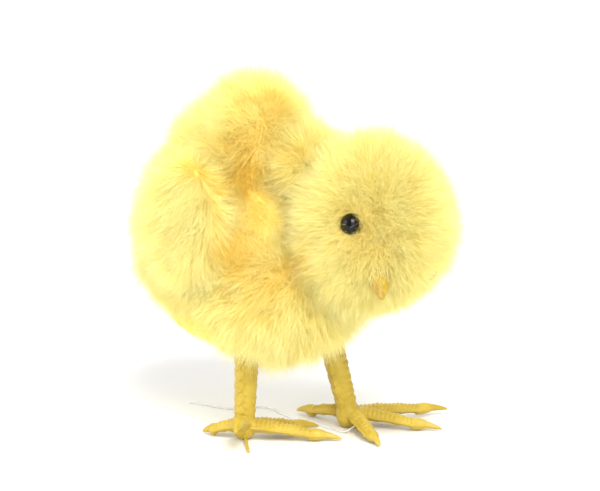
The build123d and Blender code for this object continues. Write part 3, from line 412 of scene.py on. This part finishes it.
def tone(p, rng):
    """0 for pale fur, 1 for orange fur: random patches of tone, plus orange painted shade in the hollows."""
    tone_and_painted_shade = 0.14 + 0.12 * field(p, 6, 11) + 0.10 * field(p, 2.0, 12)
    # painted shade: fur near each hollow is pushed towards orange
    for place, reach, strength in PAINTED_SHADE_HOLLOWS:
        d = np.linalg.norm(p - np.array(place), axis=1)
        tone_and_painted_shade += strength * np.exp(-((d / reach) ** 2))
    return np.clip(tone_and_painted_shade + rng.normal(0, 0.06, len(p)), 0.01, 0.99)


def clear_of_legs(tip, root):
    """True where a hair keeps out of the way of the two shanks."""
    ok = np.ones(len(tip), bool)
    for sole, top in ((FOOT_RIGHT, LEG_TOP_RIGHT), (FOOT_LEFT, LEG_TOP_LEFT)):
        sole, top = np.array(sole), np.array(top)
        axis = unit(top - sole)
        for p in (tip, root, (tip + root) / 2):
            d = p - sole
            off = np.linalg.norm(d - (d @ axis)[:, None] * axis, axis=1)
            ok &= (off > SHANK_CLEAR) | (p[:, 2] > SHANK_COVERED)
    return ok


STRAY_REACH = 5.0


def strands(name, volume, root, out, flow, lean, length, rng, width=0.05):
    """Hairs as tapered ribbons, drawn together in locks; none ends far outside its volume."""
    count = len(root)
    uneven = 1 + 0.16 * field(root, 5, 21) + 0.10 * field(root, 2.2, 22)
    size = length * uneven * rng.uniform(0.72, 1.12, count)
    lean = lean * (1 + 0.35 * field(root, 6, 23))
    stray = (rng.random(count) < 0.25)[:, None]
    start = unit(out + lean[:, None] * flow * 0.6 + rng.normal(0, 0.33, (count, 3)))
    bend = flow * lean[:, None] * 0.5 + np.array((0, 0, -0.10))
    bend = bend + rng.normal(0, 0.42, (count, 3)) * (1 + 1.4 * stray)
    bend += 0.3 * vectors(root, 2.6, 80)
    s = np.array((0.0, 0.52, 1.0))
    line = root[:, None, :] + size[:, None, None] * (
        start[:, None, :] * s[None, :, None] + 0.45 * bend[:, None, :] * (s**2)[None, :, None]
    )
    # locks: every hair leans to the nearest lock's own line
    locks = rng.choice(count, max(8, count // 26), replace=False)
    tree = kdtree.KDTree(len(locks))
    for k, index in enumerate(locks):
        tree.insert(Vector(root[index]), k)
    tree.balance()
    nearest = np.array([tree.find(Vector(p))[1] for p in root])
    leader = line[locks[nearest]]
    pull = rng.uniform(0.02, 0.4, len(locks))[nearest] * rng.uniform(0.5, 1.0, count)
    pull = pull[:, None] * (s**1.4)[None, :]
    pull *= 1 - stray
    line += (leader - line) * pull[:, :, None] * 0.8
    line = line.astype(np.float32)
    keep = clear_of_legs(line[:, -1], root) & (level(line[:, -1], volume) < STRAY_REACH)
    for eye in EYES:
        ahead = unit(eye - np.array(HEAD[0]))
        for k in (1, 2):
            d = line[:, k] - eye
            out_of_eye = d @ ahead
            beside = np.linalg.norm(d - out_of_eye[:, None] * ahead, axis=1) > EYE_CLEAR
            keep &= beside | (out_of_eye < -2) | (rng.random(len(line)) < EYE_CROSSED)
    for k in (1, 2):
        d = line[:, k] - BEAK_ROOT
        t = np.clip(d @ FACE, 0, BEAK_LENGTH)
        beside = np.linalg.norm(d - t[:, None] * FACE, axis=1) > BEAK_CLEAR
        keep &= beside | (rng.random(len(line)) < BEAK_CROSSED)
    line, size = line[keep], size[keep]
    count = len(line)
    along = unit(line[:, 1:] - line[:, :-1])
    side = unit(np.cross(along[:, 0], unit(rng.normal(size=(count, 3)))))
    widths = width * rng.uniform(0.7, 1.25, count)
    verts = np.zeros((count, 5, 3))
    for k in range(2):
        half = side * (widths * (1.0, 0.75)[k] / 2)[:, None]
        verts[:, 2 * k], verts[:, 2 * k + 1] = line[:, k] - half, line[:, k] + half
    verts[:, 4] = line[:, 2]
    base = np.arange(count)[:, None] * 5
    faces = np.concatenate([base + np.array(q) for q in ((0, 1, 3), (0, 3, 2), (2, 3, 4))])
    # across the map: each hair's tone, with orange painted shade in the coat's hollows
    shade = tone(line[:, 2], rng)
    uv = np.zeros((count, 5, 2))
    uv[:, :, 0] = shade[:, None]
    uv[:, :, 1] = np.array((0.02, 0.02, 0.52, 0.52, 0.98))
    return make(name, verts.reshape(-1, 3), faces, FUR, uv=uv.reshape(-1, 2))


def ball(volume, depth, detail=5, lumps=0.6, seed=0):
    """The coat's base: a rounded volume with soft lumps."""
    grid = bmesh.new()
    bmesh.ops.create_icosphere(grid, subdivisions=detail, radius=1)
    p = np.array([v.co for v in grid.verts])
    faces = np.array([[v.index for v in f.verts] for f in grid.faces])
    grid.free()
    centre, radii = np.array(volume[0]), np.array(volume[1]) - depth
    q = p * radii + centre
    out = unit(p / radii)
    q += out * (lumps * field(q, 5, 90 + seed))[:, None]
    return slimmed(outside_casing(q, out, 0.15), out, volume), faces


SHARE = 1.0
PIECE_HAIRS = 60000  # at most this many hairs in one piece
for piece, names, nodes in (
    ("coat_base_body", ("body", "breast", "shoulder", "nape"), ("body_fur",)),
    ("coat_base_back", ("back",), ("back_fur",)),
    ("coat_base_wing_right", ("wing_right",), ("wing_right",)),
    ("coat_base_wing_left", ("wing_left",), ("wing_left",)),
    ("coat_base_head", ("head",), ("head_fur",)),
):
    points, faces, count = [], [], 0
    for k, name in enumerate(names):
        volume, depth, *_ = COAT[name]
        p, f = ball(volume, depth + 0.1, seed=k)
        points.append(p)
        faces.append(f + count)
        count += len(p)
    base = make(piece, np.concatenate(points), np.concatenate(faces), SKIN)
    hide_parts(*nodes)

for index, (name, (volume, _, length, lean, _)) in enumerate(COAT.items()):
    rng = np.random.default_rng(100 + index)
    root, out, flow, size = coat(name, SHARE, rng)
    chunks = max(1, -(-len(root) // PIECE_HAIRS))
    order = rng.permutation(len(root))
    for k in range(chunks):
        pick = order[k::chunks]
        hair = (root[pick], out[pick], flow[pick], lean, length * size[pick])
        strands(f"fur_{name}_{k + 1}", volume, *hair, rng)


# ------------------------------------------------------------------ feet
def tube(path, radii, sides=28, relief=None, front=None):
    """A closed round skin along a path; relief(s, angle) gives each point's added radius. Angle 0 is to the
    side of a level path, or at the front of an upright one."""
    path, radii = np.asarray(path, float), np.asarray(radii, float)
    along = unit(np.gradient(path, axis=0))
    if front is None:
        side = unit(np.cross(along, (0, 0, 1)) + 1e-6)
    else:
        side = unit(np.array(front) - (along @ np.array(front))[:, None] * along)
    up = np.cross(side, along)
    angle = np.linspace(0, 2 * pi, sides, endpoint=False)
    s = np.concatenate(([0], np.cumsum(np.linalg.norm(np.diff(path, axis=0), axis=1))))
    verts = []
    for k in range(len(path)):
        extra = relief(s[k], angle) if relief else 0.0
        r = radii[k] + extra
        ring = (np.cos(angle) * r)[:, None] * side[k] + (np.sin(angle) * r)[:, None] * up[k]
        verts.append(path[k] + ring)
    n = len(path)
    grid = np.concatenate(verts)
    grid = np.vstack([grid, path[0], path[-1]])
    faces = []
    for k in range(n - 1):
        for j in range(sides):
            a, b = k * sides + j, k * sides + (j + 1) % sides
            faces.append((a, b, b + sides, a + sides))
    for j in range(sides):
        a, b = j, (j + 1) % sides
        faces.append((b, a, n * sides))
        faces.append(((n - 1) * sides + a, (n - 1) * sides + b, n * sides + 1))
    return grid, faces


SCALE_PITCH, PLATE_PITCH, RIDGE_PITCH = 2.9, 1.75, 1.02
SHANK_LOW_RADIUS, SHANK_TOP_RADIUS = 2.3, 2.85
ANKLE_HEIGHT = 3.7
TOE_BASE_RADIUS, TOE_TIP_RADIUS = 1.85, 1.22
TAB_HEADING, TAB_REACH, TAB_RADIUS = -58, 10.5, 0.36


def foot(name, node, at, top, toes, plate_height, tab):
    """One leg: a scaled shank, a ball, and for each toe its heading, its length and the height of its tip."""
    at, top = np.array(at, float), np.array(top, float)
    axis = unit(top - at)
    shapes = []
    # shank: a row of lens-shaped scales down its outer side, and cross plates down its front
    t = np.linspace(0.11, 1.0, 190)
    path = at + (top - at) * t[:, None]
    radii = SHANK_LOW_RADIUS + (SHANK_TOP_RADIUS - SHANK_LOW_RADIUS) * np.clip((t - 0.15) / 0.85, 0, 1)

    def scales(s, angle):
        def off(centre):
            return np.angle(np.exp(1j * (angle - centre)))

        f = (s / SCALE_PITCH) % 1.0
        across = off(1.62) / (0.44 * np.sin(pi * f) + 1e-3)
        lens = 0.6 * np.clip(1 - across**2, 0, 1) ** 0.5 * (1 - 0.5 * f)
        f = (s / PLATE_PITCH) % 1.0
        plates = plate_height * np.exp(-((off(0.0) / 0.7) ** 2)) * (np.sin(pi * f) ** 0.6 - 0.5)
        fold = 0.06 * np.sin(s * 2.1 + 2 * angle) + 0.04 * np.sin(s * 4.3 - 3 * angle)
        return lens + plates + fold

    shapes.append(tube(path, radii, 64, scales, front=(1, 0, 0)))
    ankle = at + axis * (ANKLE_HEIGHT / axis[2])
    for drop, radius in ((0.0, 2.8), (-1.2, 2.7)):
        k = np.linspace(-0.98, 0.98, 24)
        line = ankle + np.array((0, 0, drop)) + np.outer(k * radius, (0, 0.02, 1))
        shapes.append(tube(line, np.sqrt(1 - k**2) * radius, 28))
    for heading, length, lift in toes:
        h = np.radians(heading)
        flat = np.array((np.cos(h), np.sin(h), 0))
        start = at + np.array((0, 0, 3.1))
        end = at + flat * length * 0.70 + np.array((0, 0, lift + 0.45))
        claw = at + flat * length + np.array((0, 0, lift - 0.35))
        t = np.linspace(0, 1, 150)
        line = start + (end - start) * t[:, None] + np.array((0, 0, 0.35)) * np.sin(t * pi)[:, None]
        r = TOE_BASE_RADIUS + (TOE_TIP_RADIUS - TOE_BASE_RADIUS) * t
        for joint in (0.40, 0.72, 0.99):
            r = r + 0.15 * np.exp(-(((t - joint) / 0.06) ** 2))

        def ridges(s, angle):
            height = np.sin(angle)
            top_side = np.clip(height * 1.6 - 0.1, 0, 1)
            flange = 0.55 * np.exp(-((height / 0.11) ** 2)) * np.clip(s / 5.0, 0, 1)
            under = -0.45 * np.clip(-height * 3.0 - 0.3, 0, 1) * np.clip(s / 4.0, 0, 1)
            wave = np.abs(np.sin(pi * (s + 0.35 * np.cos(angle)) / RIDGE_PITCH)) ** 0.7 - 0.6
            return 0.36 * top_side * wave * np.clip(s / 3.0, 0, 1) + flange + under

        shapes.append(tube(line, r, 72, ridges))
        t = np.linspace(0, 1, 60)
        back = at + flat * length * 0.66 + np.array((0, 0, lift + 0.45))
        nail = back + (claw - back) * t[:, None] + np.array((0, 0, 0.45)) * np.sin(t * pi)[:, None]
        leaf = 1.30 * (0.9 + 0.30 * np.sin(np.clip(t * 1.9, 0, 1) * pi)) * np.clip(1 - t, 0.0, 1) ** 0.55

        def nail_edge(s, angle):
            height = np.sin(angle)
            return 0.14 * np.exp(-((height / 0.16) ** 2)) + 0.12 * np.clip(height * 4 - 3, 0, 1)

        shapes.append(tube(nail, np.maximum(leaf, 0.16), 40, nail_edge))
    if tab:
        h = np.radians(TAB_HEADING)
        flat = np.array((np.cos(h), np.sin(h), 0))
        t = np.linspace(0, 1, 20)[:, None]
        start = ankle + np.array((0, 0, -2.5))
        end = at + flat * TAB_REACH + np.array((0, 0, 0.3))
        shapes.append(tube(start + (end - start) * t, np.full(20, TAB_RADIUS), 12))
    points, faces, count = [], [], 0
    for p, f in shapes:
        points.append(p)
        faces += [tuple(i + count for i in q) for q in f]
        count += len(p)
    points = np.concatenate(points)
    points[:, 2] = np.where(points[:, 2] < 0.02, 0.02 + 0.02 * (points[:, 2] < 0), points[:, 2])
    rough = make(name + "_rough", points, faces, VINYL, body=None)
    remesh = rough.modifiers.new("remesh", "REMESH")
    remesh.mode, remesh.voxel_size = "VOXEL", 0.12 * MM
    remesh.use_smooth_shade = True
    relax = rough.modifiers.new("relax", "SMOOTH")
    relax.factor, relax.iterations = 0.4, 1
    shape = bpy.data.meshes.new_from_object(rough.evaluated_get(bpy.context.evaluated_depsgraph_get()))
    shape.name = name
    bpy.data.objects.remove(rough)
    piece = bpy.data.objects.new(name, shape)
    bpy.context.scene.collection.objects.link(piece)
    shape.polygons.foreach_set("use_smooth", np.ones(len(shape.polygons), bool))
    if not shape.materials:
        shape.materials.append(VINYL)
    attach(piece, "legs")
    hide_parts(node)
    return piece


TOES_RIGHT = ((49, 18.8, 0.9), (20, 22.5, 0.9), (-71, 15.0, 6.5), (184, 10.2, 0.9))
TOES_LEFT = ((47, 24.6, 1.6), (14, 21.2, 0.9), (-44, 17.3, 0.9), (165, 16.6, 0.9))
foot("foot_right", "leg_right", FOOT_RIGHT, LEG_TOP_RIGHT, TOES_RIGHT, plate_height=0.1, tab=True)
foot("foot_left", "leg_left", FOOT_LEFT, LEG_TOP_LEFT, TOES_LEFT, plate_height=0.42, tab=False)
